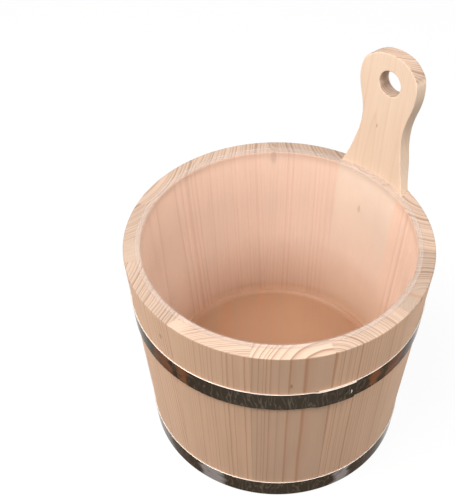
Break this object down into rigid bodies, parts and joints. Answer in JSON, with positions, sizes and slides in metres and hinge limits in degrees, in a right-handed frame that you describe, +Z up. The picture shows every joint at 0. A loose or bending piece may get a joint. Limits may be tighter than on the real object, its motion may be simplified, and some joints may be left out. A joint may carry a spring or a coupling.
{
  "type": "wooden piggin",
  "caption": "Stave-built wooden pail whose long stave is its handle, bound by polished steel hoops, with a thin lift-out plastic liner.",
  "frame": {"origin": "where the tub's axis meets the ground that the foot of the staves stands on", "axes": "+Z up along the tub's axis; -Y is the front, and the handle rises at the back on the +X side"},
  "size_m": [0.2498, 0.2498, 0.3151],
  "materials": {
    "stave_wood": "sanded spruce, unvarnished",
    "handle_wood": "sanded spruce, unvarnished",
    "floor_wood": "sanded spruce, unvarnished",
    "dowel_wood": "plain birch",
    "hoop_steel": "polished stainless strip",
    "rivet_steel": "polished stainless",
    "liner_plastic": "milky translucent, satin"
  },
  "bodies": {
    "pail": {"stave_01": "stave_wood", "stave_02": "stave_wood", "stave_03": "stave_wood", "stave_04": "stave_wood", "stave_05": "stave_wood", "stave_06": "stave_wood", "stave_07": "stave_wood", "stave_08": "stave_wood", "stave_09": "stave_wood", "stave_10": "stave_wood", "handle_stave": "handle_wood", "floor_board_left": "floor_wood", "floor_board_middle": "floor_wood", "floor_board_right": "floor_wood", "floor_dowels": "dowel_wood", "upper_hoop": "hoop_steel", "lower_hoop": "hoop_steel", "upper_hoop_rivet": "rivet_steel", "lower_hoop_rivet": "rivet_steel"},
    "liner": {"liner": "liner_plastic"}
  },
  "joints": [
    {"name": "liner_lift", "type": "slide", "parent": "pail", "child": "liner", "axis": [0, 0, 1], "range_m": [0, 0.29]}
  ]
}
